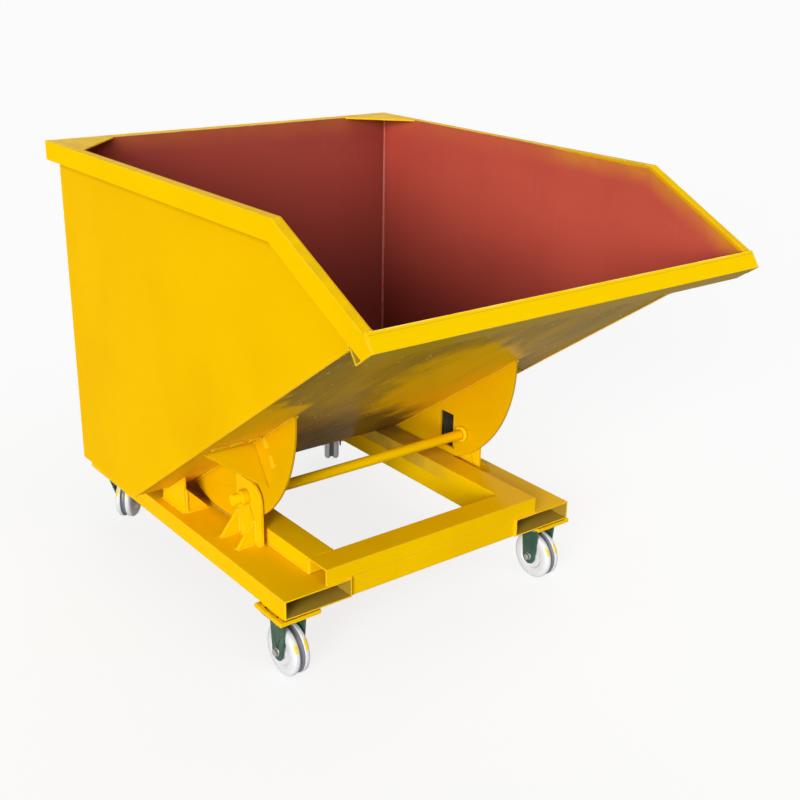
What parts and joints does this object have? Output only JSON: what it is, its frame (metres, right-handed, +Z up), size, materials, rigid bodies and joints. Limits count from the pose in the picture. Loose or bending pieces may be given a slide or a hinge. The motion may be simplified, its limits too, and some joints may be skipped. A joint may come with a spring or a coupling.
{
  "type": "tipping skip trolley",
  "caption": "Wheeled steel tipping skip: an open wedge-shaped hopper pivots forward on a welded base with fork pockets, fixed front castors and swivel rear castors.",
  "frame": {"origin": "on the ground under the middle of the part's box at rest", "axes": "+X to the right seen from the pouring lip's side, +Y to the back, +Z up"},
  "size_m": [1.246, 1.807, 1.3254],
  "materials": {
    "hopper_enamel": "gloss yellow enamel outside, red oxide primer inside",
    "base_enamel": "gloss yellow enamel",
    "green_paint": "dark green stoved paint",
    "black_paint": "satin black paint",
    "zinc_plate": "bright zinc plate",
    "white_nylon": "satin white nylon"
  },
  "bodies": {
    "base": {"left_fork_pocket": "base_enamel", "right_fork_pocket": "base_enamel", "front_frame_channel": "base_enamel", "rear_frame_channel": "base_enamel", "left_frame_channel": "base_enamel", "right_frame_channel": "base_enamel", "front_lower_beam": "base_enamel", "rear_lower_beam": "base_enamel", "left_upright": "base_enamel", "right_upright": "base_enamel", "left_upright_gussets": "base_enamel", "right_upright_gussets": "base_enamel", "left_pivot_boss": "base_enamel", "right_pivot_boss": "base_enamel", "left_rest_saddle": "base_enamel", "right_rest_saddle": "base_enamel", "left_saddle_gusset": "base_enamel", "right_saddle_gusset": "base_enamel", "lock_catch": "black_paint", "castor_packers": "base_enamel", "castor_bolts": "zinc_plate", "front_left_castor_pad": "base_enamel", "front_right_castor_pad": "base_enamel", "rear_left_castor_pad": "base_enamel", "rear_right_castor_pad": "base_enamel", "front_left_fork": "green_paint", "front_left_bush": "zinc_plate", "front_left_axle_bolt": "zinc_plate", "front_right_fork": "green_paint", "front_right_bush": "zinc_plate", "front_right_axle_bolt": "zinc_plate", "rear_left_race": "green_paint", "rear_left_kingpin": "zinc_plate", "rear_right_race": "green_paint", "rear_right_kingpin": "zinc_plate"},
    "hopper": {"left_side_sheet": "hopper_enamel", "right_side_sheet": "hopper_enamel", "back_sheet": "hopper_enamel", "floor_sheet": "hopper_enamel", "left_rim": "hopper_enamel", "right_rim": "hopper_enamel", "rear_rim": "hopper_enamel", "front_lip": "hopper_enamel", "corner_gussets": "hopper_enamel", "left_rocker": "hopper_enamel", "right_rocker": "hopper_enamel", "left_rocker_gusset": "hopper_enamel", "right_rocker_gusset": "hopper_enamel", "pivot_axle": "hopper_enamel", "axle_collars": "hopper_enamel"},
    "rear_left_swivel": {"rear_left_fork": "green_paint", "rear_left_bush": "zinc_plate", "rear_left_axle_bolt": "zinc_plate"},
    "rear_right_swivel": {"rear_right_fork": "green_paint", "rear_right_bush": "zinc_plate", "rear_right_axle_bolt": "zinc_plate"},
    "front_left_roller": {"front_left_wheel": "white_nylon"},
    "front_right_roller": {"front_right_wheel": "white_nylon"},
    "rear_left_roller": {"rear_left_wheel": "white_nylon"},
    "rear_right_roller": {"rear_right_wheel": "white_nylon"}
  },
  "joints": [
    {"name": "hopper_tip", "type": "hinge", "parent": "base", "child": "hopper", "pos_m": [0, -0.0318, 0.407], "axis": [1, 0, 0], "range_deg": [0, 58]},
    {"name": "rear_left_turn", "type": "hinge", "parent": "base", "child": "rear_left_swivel", "pos_m": [-0.432, 0.7842, 0.175], "axis": [0, 0, 1], "continuous": true},
    {"name": "rear_right_turn", "type": "hinge", "parent": "base", "child": "rear_right_swivel", "pos_m": [0.432, 0.7842, 0.175], "axis": [0, 0, 1], "continuous": true},
    {"name": "front_left_roll", "type": "hinge", "parent": "base", "child": "front_left_roller", "pos_m": [-0.468, -0.3213, 0.075], "axis": [1, 0, 0], "continuous": true},
    {"name": "front_right_roll", "type": "hinge", "parent": "base", "child": "front_right_roller", "pos_m": [0.468, -0.3213, 0.075], "axis": [1, 0, 0], "continuous": true},
    {"name": "rear_left_roll", "type": "hinge", "parent": "rear_left_swivel", "child": "rear_left_roller", "pos_m": [-0.39665, 0.81956, 0.075], "axis": [0.7071, -0.7071, 0], "continuous": true},
    {"name": "rear_right_roll", "type": "hinge", "parent": "rear_right_swivel", "child": "rear_right_roller", "pos_m": [0.45996, 0.82566, 0.075], "axis": [0.829, -0.5592, 0], "continuous": true}
  ]
}
